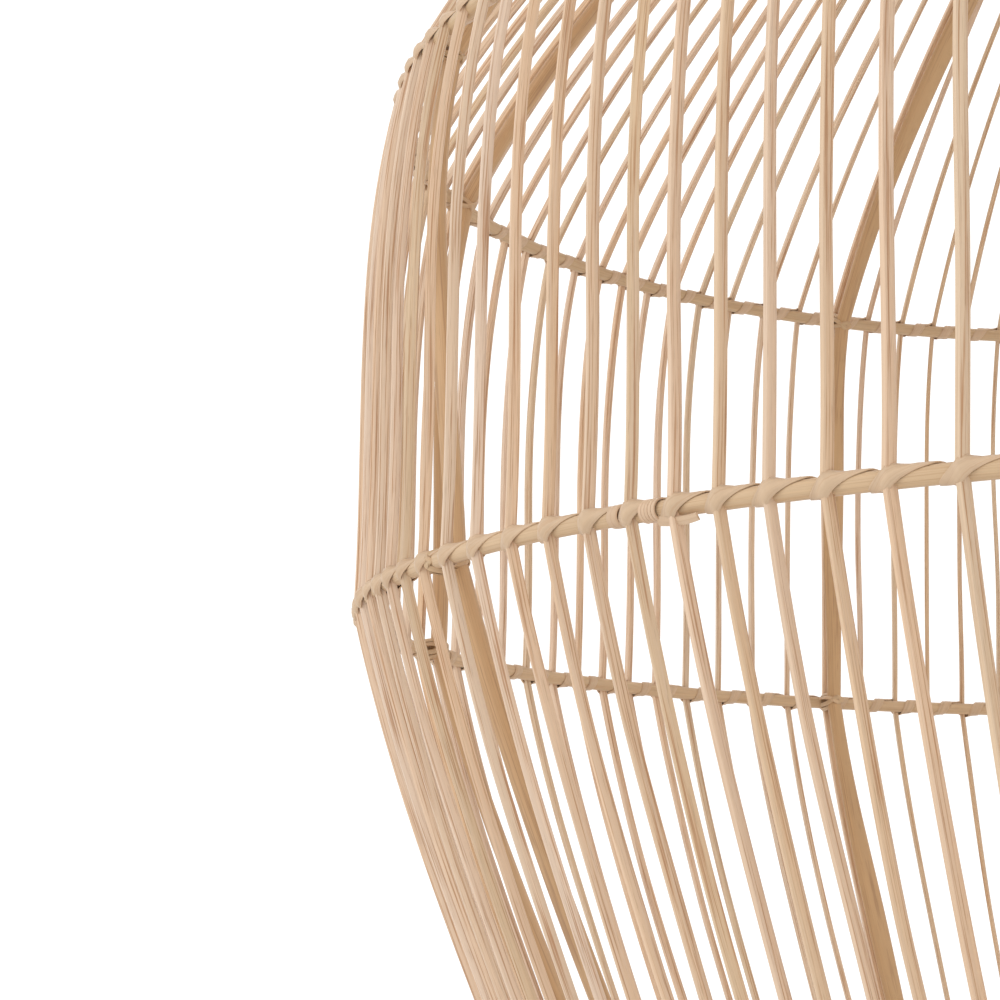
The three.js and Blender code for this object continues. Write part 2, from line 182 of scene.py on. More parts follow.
class Nodes:
    """Short names for making and joining a material's nodes."""

    def __init__(self, name):
        self.material = bpy.data.materials.new(name)
        self.material.use_nodes = True
        self.tree = self.material.node_tree
        self.shader = self.tree.nodes["Principled BSDF"]

    def make(self, kind, **values):
        node = self.tree.nodes.new(kind)
        for key, value in values.items():
            setattr(node, key, value)
        return node

    def link(self, out, into):
        self.tree.links.new(out, into)

    def put(self, value, socket):
        if isinstance(value, bpy.types.NodeSocket):
            self.link(value, socket)
        else:
            socket.default_value = value

    def attribute(self, name):
        return self.make("ShaderNodeAttribute", attribute_name=name).outputs["Fac"]

    def math(self, operation, a, b=0.0, clamp=False):
        node = self.make("ShaderNodeMath", operation=operation, use_clamp=clamp)
        self.put(a, node.inputs[0])
        self.put(b, node.inputs[1])
        return node.outputs[0]

    def vector(self, x, y, z):
        node = self.make("ShaderNodeCombineXYZ")
        for value, socket in zip((x, y, z), node.inputs):
            self.put(value, socket)
        return node.outputs[0]

    def noise(self, vector, scale, detail=2.0, roughness=0.5, distortion=0.0):
        node = self.make("ShaderNodeTexNoise")
        self.link(vector, node.inputs["Vector"])
        for key, value in (("Scale", scale), ("Detail", detail), ("Roughness", roughness),
                           ("Distortion", distortion)):
            node.inputs[key].default_value = value
        return node.outputs["Fac"]

    def remap(self, value, low, high, to_low=0.0, to_high=1.0, smooth=True):
        node = self.make("ShaderNodeMapRange")
        node.interpolation_type = "SMOOTHSTEP" if smooth else "LINEAR"
        self.put(value, node.inputs["Value"])
        for key, number in (("From Min", low), ("From Max", high), ("To Min", to_low), ("To Max", to_high)):
            self.put(number, node.inputs[key])
        return node.outputs["Result"]

    def mix(self, share, a, b, blend="MIX"):
        node = self.make("ShaderNodeMix", data_type="RGBA", blend_type=blend)
        self.put(share, node.inputs[0])
        self.put(a, node.inputs[6])
        self.put(b, node.inputs[7])
        return node.outputs[2]

    def bump(self, height, strength, distance):
        node = self.make("ShaderNodeBump")
        node.inputs["Strength"].default_value = strength
        node.inputs["Distance"].default_value = distance
        self.link(height, node.inputs["Height"])
        self.link(node.outputs["Normal"], self.shader.inputs["Normal"])

    def set(self, **values):
        for key, value in values.items():
            self.put(value, self.shader.inputs[key.replace("_", " ")])


def cane_material(name, tones, deep, grain, roughness):
    """Split or peeled cane: every strand has its own tone, and long fibres show most on its cut faces.

    across is millimetres round a strand's section, along is metres down it, seed is the strand's own number,
    and cut is 1 on a cut face and 0 on the skin.
    """
    n = Nodes(name)
    across, along, seed, cut = (n.attribute(key) for key in ("across", "along", "seed", "cut"))
    shift = n.math("MULTIPLY", seed, 87.0)
    other = n.math("FRACT", n.math("MULTIPLY", seed, 7.31))

    def fibres(per_mm, per_metre, detail):
        place = n.vector(n.math("MULTIPLY", across, per_mm), n.math("MULTIPLY", along, per_metre), shift)
        return n.noise(place, 1.0, detail, 0.6)

    drift = n.noise(n.vector(0.0, n.math("MULTIPLY", along, 9.0), shift), 1.0, 2.0)
    broad, fine, pores = fibres(0.9, 12.0, 2.0), fibres(2.4, 26.0, 3.0), fibres(4.5, 95.0, 2.0)

    pale, warm, olive = tones
    own, drifted = n.math("MULTIPLY", seed, 0.8), n.math("MULTIPLY", n.math("SUBTRACT", drift, 0.4), 0.9)
    tone = n.math("ADD", own, drifted, clamp=True)
    colour = n.mix(tone, pale, warm)
    colour = n.mix(n.remap(other, 0.35, 0.95, 0.0, 0.75), colour, olive)
    colour = n.mix(n.math("MULTIPLY", n.remap(broad, 0.5, 0.72), n.remap(cut, 0.0, 1.0, 0.1, 0.4)),
                   colour, tuple(min(1.0, 1.12 * c) for c in pale[:3]) + (1.0,))
    streaks = n.math("MULTIPLY", n.remap(fine, 0.50, 0.66), n.remap(cut, 0.0, 1.0, 0.3 * grain, grain))
    colour = n.mix(streaks, colour, deep)
    specks = n.math("MULTIPLY", n.remap(pores, 0.60, 0.72), n.remap(cut, 0.0, 1.0, 0.05, 0.45 * grain))
    colour = n.mix(specks, colour, tuple(0.6 * c for c in deep[:3]) + (1.0,))
    lift = n.remap(broad, 0.3, 0.7, 1.05, 0.93)
    colour = n.mix(1.0, colour, n.vector(lift, lift, lift), "MULTIPLY")

    rough = n.math("ADD", roughness, n.math("MULTIPLY", cut, 0.12))
    n.set(Base_Color=colour, Roughness=n.math("ADD", rough, n.math("MULTIPLY", fine, 0.10)))
    n.shader.inputs["Specular IOR Level"].default_value = 0.42
    n.shader.inputs["Sheen Weight"].default_value = 0.12
    n.shader.inputs["Sheen Roughness"].default_value = 0.45
    n.bump(n.math("ADD", n.math("MULTIPLY", fine, 0.7), n.math("MULTIPLY", pores, 0.3)), 0.6, 0.00015)
    return n.material


def speckled_material(name, colour, other, scale, roughness, spread, bump, metallic=0.0):
    """Plastic, metal or ceramic: a faint mottle, uneven gloss and a fine surface texture."""
    n = Nodes(name)
    place = n.make("ShaderNodeTexCoord").outputs["Object"]
    mottle = n.noise(place, scale * 0.08, 3.0, 0.6)
    fine = n.noise(place, scale, 4.0, 0.6)
    n.set(Base_Color=n.mix(n.remap(mottle, 0.35, 0.7), colour, other))
    n.set(Roughness=n.math("ADD", roughness, n.math("MULTIPLY", n.math("SUBTRACT", fine, 0.5), spread)))
    n.shader.inputs["Metallic"].default_value = metallic
    n.bump(fine, bump, 0.0001)
    return n.material


def glass_material(name, tint):
    n = Nodes(name)
    place = n.make("ShaderNodeTexCoord").outputs["Object"]
    smear = n.noise(place, 60.0, 3.0, 0.6)
    n.set(Base_Color=tint, Roughness=n.remap(smear, 0.4, 0.8, 0.0, 0.05))
    n.shader.inputs["Transmission Weight"].default_value = 1.0
    n.shader.inputs["IOR"].default_value = 1.46
    return n.material


def opaque(*colours):
    return [colour + (1,) for colour in colours]


# Each cane's pale, warm and olive tones, and the deep tone of the fibres in it.
RATTAN_TONES = opaque((0.715, 0.555, 0.425), (0.665, 0.445, 0.265), (0.615, 0.465, 0.30))
STRIP_TONES = opaque((0.655, 0.466, 0.323), (0.58, 0.395, 0.247), (0.546, 0.395, 0.25))
ROD_TONES = opaque((0.60, 0.425, 0.26), (0.546, 0.37, 0.21), (0.528, 0.37, 0.213))
# The ribs' tones and fibre tone are darkened by about a tenth as painted shade, for the shade that falls on
# them inside the splints.
RIB_TONES_DARKENED_AS_SHADE = opaque((0.575, 0.37, 0.195), (0.495, 0.29, 0.142), (0.495, 0.325, 0.158))
TIE_TONES = opaque((0.56, 0.38, 0.225), (0.51, 0.33, 0.18), (0.49, 0.34, 0.19))
DEEP, ROD_DEEP, RIB_DEEP_DARKENED_AS_SHADE = opaque((0.40, 0.19, 0.08), (0.36, 0.19, 0.08), (0.29, 0.14, 0.063))

RATTAN = cane_material("split_rattan", RATTAN_TONES, DEEP, 0.8, 0.42)
STRIP_CANE = cane_material("binding_cane", STRIP_TONES, DEEP, 0.4, 0.36)
ROD_CANE = cane_material("peeled_cane", ROD_TONES, ROD_DEEP, 0.45, 0.38)
RIB_CANE = cane_material("rib_cane", RIB_TONES_DARKENED_AS_SHADE, RIB_DEEP_DARKENED_AS_SHADE, 0.6, 0.45)
TIE_CANE = cane_material("tie_cane", TIE_TONES, DEEP, 0.5, 0.4)
STEEL = speckled_material("zinc_wire", (0.52, 0.53, 0.55, 1), (0.40, 0.41, 0.43, 1),
                          900, 0.34, 0.25, 0.25, 1.0)
BRASS = speckled_material("brass", (0.72, 0.47, 0.16, 1), (0.60, 0.36, 0.11, 1),
                          700, 0.28, 0.2, 0.15, 1.0)
CAP_METAL = speckled_material("nickelled_shell", (0.70, 0.69, 0.66, 1), (0.58, 0.57, 0.54, 1),
                              800, 0.25, 0.2, 0.15, 1.0)
BLACK = speckled_material("black_thermoplastic", (0.016, 0.016, 0.017, 1), (0.026, 0.025, 0.024, 1),
                          1400, 0.40, 0.2, 0.5)
CERAMIC = speckled_material("glazed_ceramic", (0.83, 0.81, 0.76, 1), (0.76, 0.73, 0.66, 1),
                            500, 0.2, 0.1, 0.1)
PHOSPHOR = speckled_material("phosphor", (0.88, 0.50, 0.07, 1), (0.80, 0.40, 0.04, 1),
                             1500, 0.6, 0.2, 0.6)
GLASS = glass_material("clear_glass", (0.97, 0.965, 0.95, 1))


# ---------------------------------------------------------------- meshes of swept strands

class Strands:
    """Collects swept strands for one mesh, with the attributes that the cane materials read."""

    def __init__(self):
        self.verts, self.faces = [], []
        self.values = {"along": [], "across": [], "seed": [], "cut": []}
        self.count = 0

    def sweep(self, rings, along, across, cut, seed, closed=False):
        """rings is (steps, sides, 3) of points, wound so that its faces look outwards."""
        steps, sides, _ = rings.shape
        base = self.count + np.arange(steps * sides).reshape(steps, sides)
        ahead = np.roll(base, -1, axis=0) if closed else base[1:]
        here = base if closed else base[:-1]
        quads = np.stack([here, np.roll(here, -1, 1), np.roll(ahead, -1, 1), ahead], axis=-1)
        self.faces += quads.reshape(-1, 4).tolist()
        if not closed:
            self.faces.append(base[0][::-1].tolist())
            self.faces.append(base[-1].tolist())
        self.verts.append(rings.reshape(-1, 3))
        self.values["along"].append(np.repeat(np.broadcast_to(along, steps), sides))
        self.values["across"].append(np.tile(across, steps))
        self.values["cut"].append(np.tile(np.broadcast_to(cut, sides), steps))
        self.values["seed"].append(np.full(steps * sides, seed))
        self.count += steps * sides

    def build(self, name, body, material, slot, replaced=()):
        mesh = bpy.data.meshes.new(name)
        mesh.from_pydata(np.concatenate(self.verts).tolist(), [], self.faces)
        for key, parts in self.values.items():
            attribute = mesh.attributes.new(key, "FLOAT", "POINT")
            attribute.data.foreach_set("value", np.concatenate(parts).astype(np.float32))
        mesh.materials.append(material)
        return settle(mesh, name, body, replaced, 50)


def settle(mesh, name, body, replaced, sharp_angle):
    mesh.shade_smooth()
    mesh.set_sharp_from_angle(angle=math.radians(sharp_angle))
    piece = bpy.data.objects.new(name, mesh)
    bpy.context.scene.collection.objects.link(piece)
    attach(piece, body)
    if replaced:
        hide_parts(*replaced)
    return piece


def unit(v):
    return v / np.linalg.norm(v, axis=-1, keepdims=True)


def rings_of(centres, side, out, section):
    """Places the section's (side, out) points at each centre. section is (sides, 2) or (steps, sides, 2)."""
    section = np.broadcast_to(section, (len(centres),) + np.shape(section)[-2:])
    return centres[:, None] + section[..., :1] * side[:, None] + section[..., 1:] * out[:, None]


# ---------------------------------------------------------------- the cage's profile

def station(r, h, slope):
    """A radius, a height and the outward normal of a surface with that slope."""
    length = math.hypot(1, slope)
    return np.array([r, h, 1 / length, -slope / length])


def hoop_station(hoop, rise=0.0):
    """At a hoop the normal halves the splints' bend. rise moves along the splint."""
    normal = (station(0, 0, hoop.above) + station(0, 0, hoop.below))[2:]
    normal /= np.linalg.norm(normal)
    return np.array([hoop.r - rise * normal[1], hoop.h + rise * normal[0], *normal])


def span_station(upper, lower, t):
    """Part of the way down from one hoop to the next, on a curve that meets both at their slopes."""
    span = lower.h - upper.h
    m0, m1 = span * upper.below, span * lower.above
    r = ((2 * t**3 - 3 * t**2 + 1) * upper.r + (t**3 - 2 * t**2 + t) * m0
         + (3 * t**2 - 2 * t**3) * lower.r + (t**3 - t**2) * m1)
    rise = 6 * (t**2 - t) * (upper.r - lower.r) + (3 * t**2 - 4 * t + 1) * m0 + (3 * t**2 - 2 * t) * m1
    return station(r, upper.h + span * t, rise / span)


def profile(end, steps):
    """Stations from the top hoop to the mouth, end past both, and each one's place counted in hoops."""
    rows, place = [hoop_station(TOP, end)], [0.0]
    for k, (upper, lower) in enumerate(zip(HOOPS, HOOPS[1:])):
        for t in (np.arange(steps[k]) + 0.5) / steps[k]:
            rows.append(span_station(upper, lower, t))
            place.append(k + t)
        rows.append(hoop_station(lower))
        place.append(k + 1.0)
    rows.append(hoop_station(MOUTH, -end))
    place.append(len(HOOPS) - 1.0)
    return np.array(rows), np.array(place)


def azimuth(even):
    """Where a splint stands, from where it would stand if they were evenly spaced."""
    wander = SPACING_WANDER * math.sin(math.radians(even - CLOSEST_AT))
    ripple = SPACING_RIPPLE * math.cos(math.radians((even - CLOSEST_AT) * RIPPLES))
    return math.radians(even - wander + ripple)


def directions(angles):
    """Outwards and to the right, as seen from outside, at each azimuth."""
    zero = np.zeros_like(angles)
    outward = np.stack([np.sin(angles), -np.cos(angles), zero], -1)
    right = np.stack([np.cos(angles), np.sin(angles), zero], -1)
    return outward, right


UP = np.array([0.0, 0.0, 1.0])


def on_cage(rows, angles, depth):
    """Points at a depth inside the splints' outer face, with the outward normal and the way right."""
    outward, right = directions(angles)
    r, h, nr, nh = rows.T
    normal = nr[:, None] * outward + nh[:, None] * UP
    return r[:, None] * outward + (h + CAGE_Z)[:, None] * UP - depth * normal, normal, right


def lengths(points):
    steps = np.linalg.norm(np.diff(points, axis=0), axis=1)
    return np.concatenate([[0], np.cumsum(steps)])


# ---------------------------------------------------------------- splints

STRAY_AT_HOOPS = 0.30 * MM  # how far a hand puts a splint to one side of its place
STRAY_BETWEEN = 0.40 * MM  # the same, between hoops
SINK_BETWEEN = 0.2 * MM  # how far it sinks inwards between hoops
TWIST_SPREAD, TWIST_BETWEEN = 0.08, 0.10  # radians: splint from splint, and along one
WIDTH_SHARES = (0.88, 1.14)

SPLINT_ANGLES = [azimuth(FIRST_SPLINT + i * 360 / SPLINTS) for i in range(SPLINTS)]
HOOP_STRAY = [[random.gauss(0, STRAY_AT_HOOPS) for _ in HOOPS] for _ in range(SPLINTS)]
SPLINT_ROWS, SPLINT_PLACE = profile(SPLINT_END, (42, 24, 28, 26))

# Across and up the section of a split cane, from its inner face round to its skin, and 1 where it is cut.
SPLINT_SECTION = np.array([
    (-0.80, 0.00, 1), (0.80, 0.00, 1), (0.97, 0.07, 1), (1.00, 0.45, 1), (0.98, 0.86, 1),
    (0.80, 0.97, 0), (0.25, 1.00, 0), (-0.35, 0.99, 0), (-0.82, 0.96, 0),
    (-0.98, 0.88, 1), (-1.00, 0.45, 1), (-0.96, 0.08, 1),
])


def splint_section():
    """The section with its corners strayed a little, as a knife leaves it."""
    outline = SPLINT_SECTION[:, :2].copy()
    outline += [(random.gauss(0, 0.035), random.gauss(0, 0.02)) for _ in outline]
    outline[:, 0] += random.gauss(0, 0.10) * (outline[:, 1] - 0.5)
    return outline


def round_section(outline):
    """Millimetres round an outline, for the materials."""
    steps = np.linalg.norm(np.diff(outline, axis=0), axis=1)
    return np.concatenate([[0], np.cumsum(steps)]) / MM


def any_phase():
    """Anywhere in a turn, in radians."""
    return random.uniform(0, 6.28)


def waves(place, size, count=3):
    """A smooth stray that is zero at every hoop."""
    total = sum(random.gauss(0, 1) / k * np.sin(k * np.pi * place + any_phase())
                for k in range(1, count + 1))
    return size * total * np.sin(np.pi * (place % 1.0))


def sweep_splint(strands, index):
    width_share = random.uniform(*WIDTH_SHARES)
    stray = np.interp(SPLINT_PLACE, range(len(HOOPS)), HOOP_STRAY[index])
    stray = stray + waves(SPLINT_PLACE, STRAY_BETWEEN)
    angles = SPLINT_ANGLES[index] + stray / SPLINT_ROWS[:, 0]
    depth = SPLINT_T / 2 + np.abs(waves(SPLINT_PLACE, SINK_BETWEEN))[:, None]
    centres, out, side = on_cage(SPLINT_ROWS, angles, depth)
    for end, inner in ((0, 1), (-1, -2)):
        centres[end] += random.uniform(0, 1.2) * MM * unit(centres[end] - centres[inner])

    twist = LASHING_TWIST + random.gauss(0, TWIST_SPREAD) + waves(SPLINT_PLACE, TWIST_BETWEEN, 2)
    twist = twist[:, None]
    side, out = (np.cos(twist) * side + np.sin(twist) * out, np.cos(twist) * out - np.sin(twist) * side)

    outline = (splint_section() - (0, 0.5)) * (SPLINT_W * width_share / 2, SPLINT_T * 0.94)
    swell = 1 + waves(SPLINT_PLACE, 0.02, 4)
    section = outline[None] * swell[:, None, None]
    strands.sweep(rings_of(centres, side, out, section), lengths(centres), round_section(outline),
                  SPLINT_SECTION[:, 2], random.random())


def make_splints():
    for group in range(SPLINTS // SPLINTS_PER_GROUP):
        strands = Strands()
        for i in range(SPLINTS_PER_GROUP):
            sweep_splint(strands, group * SPLINTS_PER_GROUP + i)
        label = f"{group + 1:02d}"
        strands.build(f"splint_set_{label}", "shade", RATTAN, "rattan", [f"splints_{label}"])


# ---------------------------------------------------------------- hoops and ribs

def circle(sides):
    """Anticlockwise (side, out) points of a unit circle."""
    turns = np.arange(sides) * 2 * np.pi / sides
    return np.stack([np.cos(turns), np.sin(turns)], -1)


def hoop_frames(hoop, angles, depth=ROD_DEPTH):
    rows = np.broadcast_to(hoop_station(hoop), (len(angles), 4))
    return on_cage(rows, angles, depth)


def make_hoops():
    for hoop in HOOPS:
        steps = max(120, int(hoop.r / BELLY_R * 420))
        angles = np.arange(steps) * 2 * np.pi / steps
        centres, out, side = hoop_frames(hoop, angles)
        rise = unit(np.cross(side, -out))
        wobble = sum(random.uniform(0.04, 0.12) * MM * np.sin(k * angles + any_phase())
                     for k in (3, 5, 8))
        centres = centres + wobble[:, None] * rise
        radius = ROD_R * (1 + 0.025 * np.sin(7 * angles + any_phase()))
        turns = circle(16)
        rings = rings_of(centres, out, rise, turns[None] * radius[:, None, None])
        strands = Strands()
        across = 1.6 * ROD_R / MM * turns[:, 1]
        strands.sweep(rings, angles * hoop.r, across, 0.6, random.random(), closed=True)
        strands.build(f"cane_hoop_{hoop.name}", "shade", ROD_CANE, "cane", [f"hoop_{hoop.name}"])


FIRST_JOINT = (0.06, 0.20)  # metres down a rib to its first joint, where the cane swells
JOINT_SPACING, JOINT_LENGTH = 0.27, 0.005
JOINT_SWELL = 0.09  # as a share of the rib's radius


def make_ribs():
    """Each rib is round where it is tied and flatter and wider between the hoops."""
    rows, place = profile(1.6 * MM, (34, 16, 20, 20))
    between = np.sin(np.pi * place) ** 2
    turns = circle(20)
    for index, azimuths in enumerate(RIBS):
        angles = np.radians(np.interp(place, range(len(HOOPS)), azimuths))
        centres, out, side = on_cage(rows, angles, RIB_DEPTH)
        along = lengths(centres)
        centres = centres + waves(place, 0.5 * MM)[:, None] * side
        swell = 1 + 0.03 * np.sin(along / 0.07 + any_phase())
        for joint in np.arange(random.uniform(*FIRST_JOINT), along[-1], JOINT_SPACING):
            swell = swell + JOINT_SWELL * np.exp(-((along - joint) / JOINT_LENGTH) ** 2)
        twist = waves(place, 0.15, 2)[:, None]
        side, out = np.cos(twist) * side + np.sin(twist) * out, np.cos(twist) * out - np.sin(twist) * side
        halves = RIB_R * np.stack([swell * (1 + RIB_SWELL * between), swell * (1 - 0.1 * between)], -1)
        strands = Strands()
        strands.sweep(rings_of(centres, side, out, turns[None] * halves[:, None]), along,
                      1.6 * RIB_R / MM * turns[:, 1], 0.6, random.random())
        strands.build(f"cane_rib_{index + 1}", "shade", RIB_CANE, "rattan", [f"rib_{index + 1}"])


# ---------------------------------------------------------------- the binding

STRIP_SECTION = np.array([(-0.92, -0.5), (0.92, -0.5), (1.0, -0.1), (0.9, 0.35), (0.3, 0.5), (-0.3, 0.5),
                          (-0.9, 0.35), (-1.0, -0.1)])


def sweep_strip(strands, path, outward, width, taper=None, lay=None):
    """A flat strip along a path, its face turned towards outward. lay bends it over what it lies on."""
    ahead = unit(np.gradient(path, axis=0))
    side = unit(np.cross(ahead, outward))
    out = unit(np.cross(side, ahead))
    share = np.ones(len(path)) if taper is None else taper
    section = STRIP_SECTION[None] * np.stack([share * width / 2, np.full(len(path), STRIP_T)], -1)[:, None]
    across = STRIP_SECTION[:, 0] * width / 2 / MM
    rings = rings_of(path, side, out, section)
    if lay:
        rings = lay(rings, section[..., 1])
    strands.sweep(rings, lengths(path), across, 0.45, random.random())


HUG = ROD_R + STRIP_T * 0.55  # from a hoop's middle to the middle of a strip lying on it
LIFT_REACH = 2.2 * MM  # from a splint's middle to where the strip comes back down towards the rod


def wrap_points(hoop, angles, turns, lift):
    """Points round a hoop: turns is the angle round the rod, with the front at 0 and the top at a quarter.

    lift is how far the strip is held off the rod in front, where it goes over a splint.
    """
    centres, out, side = hoop_frames(hoop, angles)
    rise = unit(np.cross(side, -out))
    cos, sin = np.cos(turns), np.sin(turns)
    n = HUG * cos + lift * np.clip(cos, 0, 1) ** 0.7
    t = HUG * sin
    face = unit((cos / (1 + lift / HUG))[:, None] * out + sin[:, None] * rise)
    return centres + n[:, None] * out + t[:, None] * rise, face


def laid_on(hoop, splint_angles, lifts):
    """Bends a strip to the hoop's rod, lifted where it goes over a splint."""
    def lay(rings, heights):
        angles = np.arctan2(rings[..., 0], -rings[..., 1]).ravel()
        away = (angles[:, None] - splint_angles + np.pi) % (2 * np.pi) - np.pi
        nearest = np.abs(away).argmin(axis=1)
        away = away[np.arange(len(angles)), nearest] * hoop.r
        centres, out, side = hoop_frames(hoop, angles)
        rise = unit(np.cross(side, -out))
        offset = rings.reshape(-1, 3) - centres
        turns = np.arctan2((offset * rise).sum(-1), (offset * out).sum(-1))
        cos, sin = np.cos(turns), np.sin(turns)
        lift = lifts[nearest] * np.exp(-(away / LIFT_REACH) ** 2) * np.clip(cos, 0, 1) ** 0.35
        reach = (HUG + heights.ravel() + lift)[:, None]
        return (centres + reach * (cos[:, None] * out + sin[:, None] * rise)).reshape(rings.shape)
    return lay


LASH_STEPS = 22  # to a turn
LASH_START, LASH_TOP = -0.22, 0.50  # of the way to the next splint: at the hoop's underside and its top
LASH_CLIMB = 1.6  # over 1, a turn climbs steeply on its splint and slants more after it
STRIP_OF_GAP = 0.60  # the widest a strip may be, of the way to the next splint
LOOSENESS = (0.15 * MM, 0.55 * MM)  # how far the strip stands off a splint that it goes over


def lash_hoop(hoop, k):
    """One long helix that crosses each splint once, climbing to the right."""
    order = sorted(range(SPLINTS), key=lambda i: SPLINT_ANGLES[i])
    at = [SPLINT_ANGLES[i] + HOOP_STRAY[i][k] / hoop.r for i in order]
    over = ROD_DEPTH + STRIP_T * 0.4 - HUG
    s = np.arange(LASH_STEPS) / LASH_STEPS
    angles, turns = [], []
    for index, here in enumerate(at):
        following = at[index + 1] if index + 1 < SPLINTS else at[0] + 2 * math.pi
        gap = following - here
        slack = random.gauss(0, 0.03)
        start, top = LASH_START + slack, LASH_TOP + slack
        front = start + (top - start) * (2 * s) ** LASH_CLIMB
        v = 2 * s - 1
        back = top + (1 + start - top) * (1.8 * v - 0.8 * v**2)
        share = np.where(s < 0.5, front, back)
        angles.append(here + gap * share)
        turns.append(-np.pi / 2 + 2 * np.pi * s)
    angles, turns = map(np.concatenate, (angles, turns))
    width = min(STRIP_W, STRIP_OF_GAP * 2 * math.pi / SPLINTS * hoop.r)
    path, face = wrap_points(hoop, angles, turns, 0)
    lifts = np.array([over + random.uniform(*LOOSENESS) for _ in at])
    strands = Strands()
    sweep_strip(strands, path, face, width, lay=laid_on(hoop, np.array(at), lifts))
    return strands


# Azimuths, in degrees, of the parts of the splice on the belly hoop's front.
SPLICE_TURN = (-33.55, -33.2)
SPLICE_TIGHT_TURNS = (-31.75, -30.75)
SPLICE_CUT_END = (-31.0, -28.35)


def add_splice(strands, hoop):
    """Where the binding strip ran out: a straight turn, some tight thin turns, and the cut end."""
    def coil(azimuths, count, width, lift):
        """Turns round the hoop between two azimuths."""
        steps = 20 * count
        turns = np.linspace(-np.pi / 2, -np.pi / 2 + 2 * np.pi * count, steps)
        angles = np.radians(np.linspace(*azimuths, steps))
        path, face = wrap_points(hoop, angles, turns, np.full(steps, lift))
        sweep_strip(strands, path, face, width)

    coil(SPLICE_TURN, 1, 3.6 * MM, 0.6 * MM)
    coil(SPLICE_TIGHT_TURNS, 5, 1.0 * MM, 0.5 * MM)

    steps = 12  # along the cut end, which hangs away from the hoop
    angles = np.radians(np.linspace(*SPLICE_CUT_END, steps))
    centres, out, side = hoop_frames(hoop, angles)
    rise = unit(np.cross(side, -out))
    t = np.linspace(0, 1, steps)[:, None]
    path = centres + out * (1.0 + 1.8 * t) * MM - rise * (2.5 + 0.9 * np.sin(2.4 * t)) * MM
    sweep_strip(strands, path, out - 0.5 * rise, 2.7 * MM, np.linspace(1, 0.7, steps))


TIE_W = 1.7 * MM
TIE_STEPS = 40
TIE_OVERLAP = 3  # steps, where a tie's ends lie on each other
TIE_SQUARENESS = 0.8  # under 1, a tie's loop is squarer than an ellipse


def cross_ribs(strands, hoop, k):
    """An X of strips ties each rib behind the hoop."""
    def squared(wave):
        return np.sign(wave) * np.abs(wave) ** TIE_SQUARENESS

    u = np.arange(TIE_STEPS + TIE_OVERLAP) * 2 * np.pi / TIE_STEPS
    behind = RIB_DEPTH - ROD_DEPTH + RIB_R + STRIP_T * 0.6
    front = HUG
    for azimuths in RIBS:
        centre, out, side = (v[0] for v in hoop_frames(hoop, np.radians([azimuths[k]])))
        rise = unit(np.cross(side, -out))
        for lean in (1, -1):
            for spread in (-0.7, 0.7):
                n = (front - behind) / 2 + (front + behind) / 2 * squared(np.cos(u))
                a = (RIB_R + 0.1 * MM) * squared(np.sin(u)) + spread * MM * lean
                t = lean * (ROD_R - 0.2 * MM) * np.sin(u) - spread * MM
                path = centre + n[:, None] * out + a[:, None] * side + t[:, None] * rise
                face = np.cos(u)[:, None] * out + np.sin(u)[:, None] * (side + lean * rise) * 0.7
                sweep_strip(strands, path, face, TIE_W)


def make_lashings():
    for k, hoop in enumerate(HOOPS):
        strands = lash_hoop(hoop, k)
        if hoop is BELLY:
            add_splice(strands, hoop)
        strands.build(f"binding_{hoop.name}", "shade", STRIP_CANE, "rattan")
        ties = Strands()
        cross_ribs(ties, hoop, k)
        ties.build(f"rib_ties_{hoop.name}", "shade", TIE_CANE, "rattan")


# ---------------------------------------------------------------- turned and bent fittings

def rounded(outline, radius):
    """The outline with each corner replaced by a short curve. Ends on the axis stay."""
    if not radius:
        return np.array(outline, float)
    points = [np.array(p, float) for p in outline]
    closed = points[0][0] > 0
    result = []
    for i, here in enumerate(points):
        if not closed and i in (0, len(points) - 1):
            result.append(here)
            continue
        before, after = points[i - 1] - here, points[(i + 1) % len(points)] - here
        cut = min(radius, 0.45 * np.linalg.norm(before), 0.45 * np.linalg.norm(after))
        start, end = here + cut * unit(before), here + cut * unit(after)
        for t in (0, 1 / 3, 2 / 3, 1):
            result.append((1 - t) ** 2 * start + 2 * t * (1 - t) * here + t**2 * end)
    return np.array(result)


def finely(points, step, closed):
    """The same points, with more of them along any edge longer than a step."""
    following = np.roll(points, -1, 0) if closed else points[1:]
    result = []
    for here, after in zip(points, following):
        count = max(1, math.ceil(np.linalg.norm(after - here) / step))
        result += [here + (after - here) * i / count for i in range(count)]
    return np.array(result if closed else result + [points[-1]])


def turned(name, outline, body, material, replaced=(), radius=0.4, ripple=None, step=None, segments=72):
    """A body of revolution. The outline of (r, z), in mm, runs anticlockwise, closed or from axis to axis.

    ripple(r, z, turn) moves the surface outwards, for threads and knurls, and step is how finely it is cut.
    """
    closed = outline[0][0] > 0
    points = rounded(outline, radius)
    if step:
        points = finely(points, step, closed)
    turn = np.arange(segments) * 2 * np.pi / segments
    r, z = points[:, :1], points[:, 1:]
    r = r + (ripple(r, z, turn[None]) if ripple else 0 * turn[None])
    verts = np.stack([r * np.cos(turn), r * np.sin(turn), z + 0 * turn[None]], -1) * MM
    index = np.arange(len(points) * segments).reshape(len(points), segments)
    here, ahead = (index, np.roll(index, -1, 0)) if closed else (index[:-1], index[1:])
    faces = np.stack([here, np.roll(here, -1, 1), np.roll(ahead, -1, 1), ahead], -1).reshape(-1, 4)
    mesh = bpy.data.meshes.new(name)
    mesh.from_pydata(verts.reshape(-1, 3).tolist(), [], faces.tolist())
    shaped = bmesh.new()
    shaped.from_mesh(mesh)
    bmesh.ops.remove_doubles(shaped, verts=shaped.verts, dist=1e-6)
    shaped.to_mesh(mesh)
    shaped.free()
    mesh.materials.append(material)
    return settle(mesh, name, body, replaced, 40)


def within(z, low, high, fade=0.8):
    """1 between two heights, fading to 0 at each."""
    return np.clip((z - low) / fade, 0, 1) * np.clip((high - z) / fade, 0, 1)


